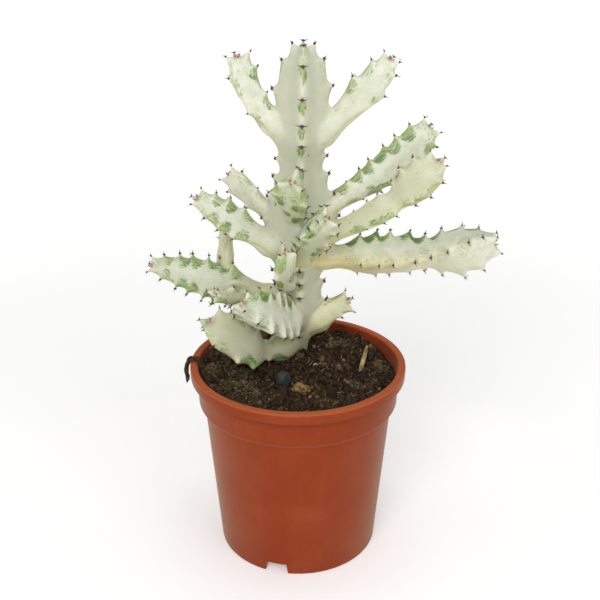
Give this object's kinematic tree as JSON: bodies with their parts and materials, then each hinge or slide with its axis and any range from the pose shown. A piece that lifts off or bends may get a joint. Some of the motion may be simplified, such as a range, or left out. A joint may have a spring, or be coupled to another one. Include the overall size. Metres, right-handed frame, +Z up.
{
  "type": "potted euphorbia",
  "caption": "Pale candelabra euphorbia with an upright ribbed stem and spiny toothed side stems, standing in peat in a round terracotta-coloured plastic nursery pot.",
  "frame": {"origin": "centre of the pot's foot, on the surface that the pot stands on", "axes": "+Z up along the pot's axis; the picture looks at the plant along +Y, with +X to its right"},
  "size_m": [0.211, 0.13, 0.3096],
  "materials": {
    "pot_plastic": "satin",
    "peat": "matte",
    "stem_skin": "satin",
    "slate": "matte",
    "pale_grit": "matte",
    "bark": "matte",
    "straw": "matte",
    "root": "matte"
  },
  "bodies": {
    "root": {"pot": "pot_plastic", "soil": "peat", "main_stem": "stem_skin", "side_stem_top_left": "stem_skin", "side_stem_top_right": "stem_skin", "side_stem_left_upper": "stem_skin", "side_stem_left_middle": "stem_skin", "side_stem_left_long": "stem_skin", "side_stem_left_riser": "stem_skin", "side_stem_left_bud": "stem_skin", "side_stem_front_low": "stem_skin", "side_stem_front_upright": "stem_skin", "side_stem_front_upper": "stem_skin", "side_stem_front_right": "stem_skin", "side_stem_right_upper": "stem_skin", "side_stem_right_middle": "stem_skin", "side_stem_right_long": "stem_skin", "side_stem_right_low": "stem_skin", "side_stem_soil_left": "stem_skin", "pebble": "slate", "grit": "pale_grit", "bark_chip": "bark", "straw": "straw", "root_over_rim": "root"}
  },
  "joints": []
}
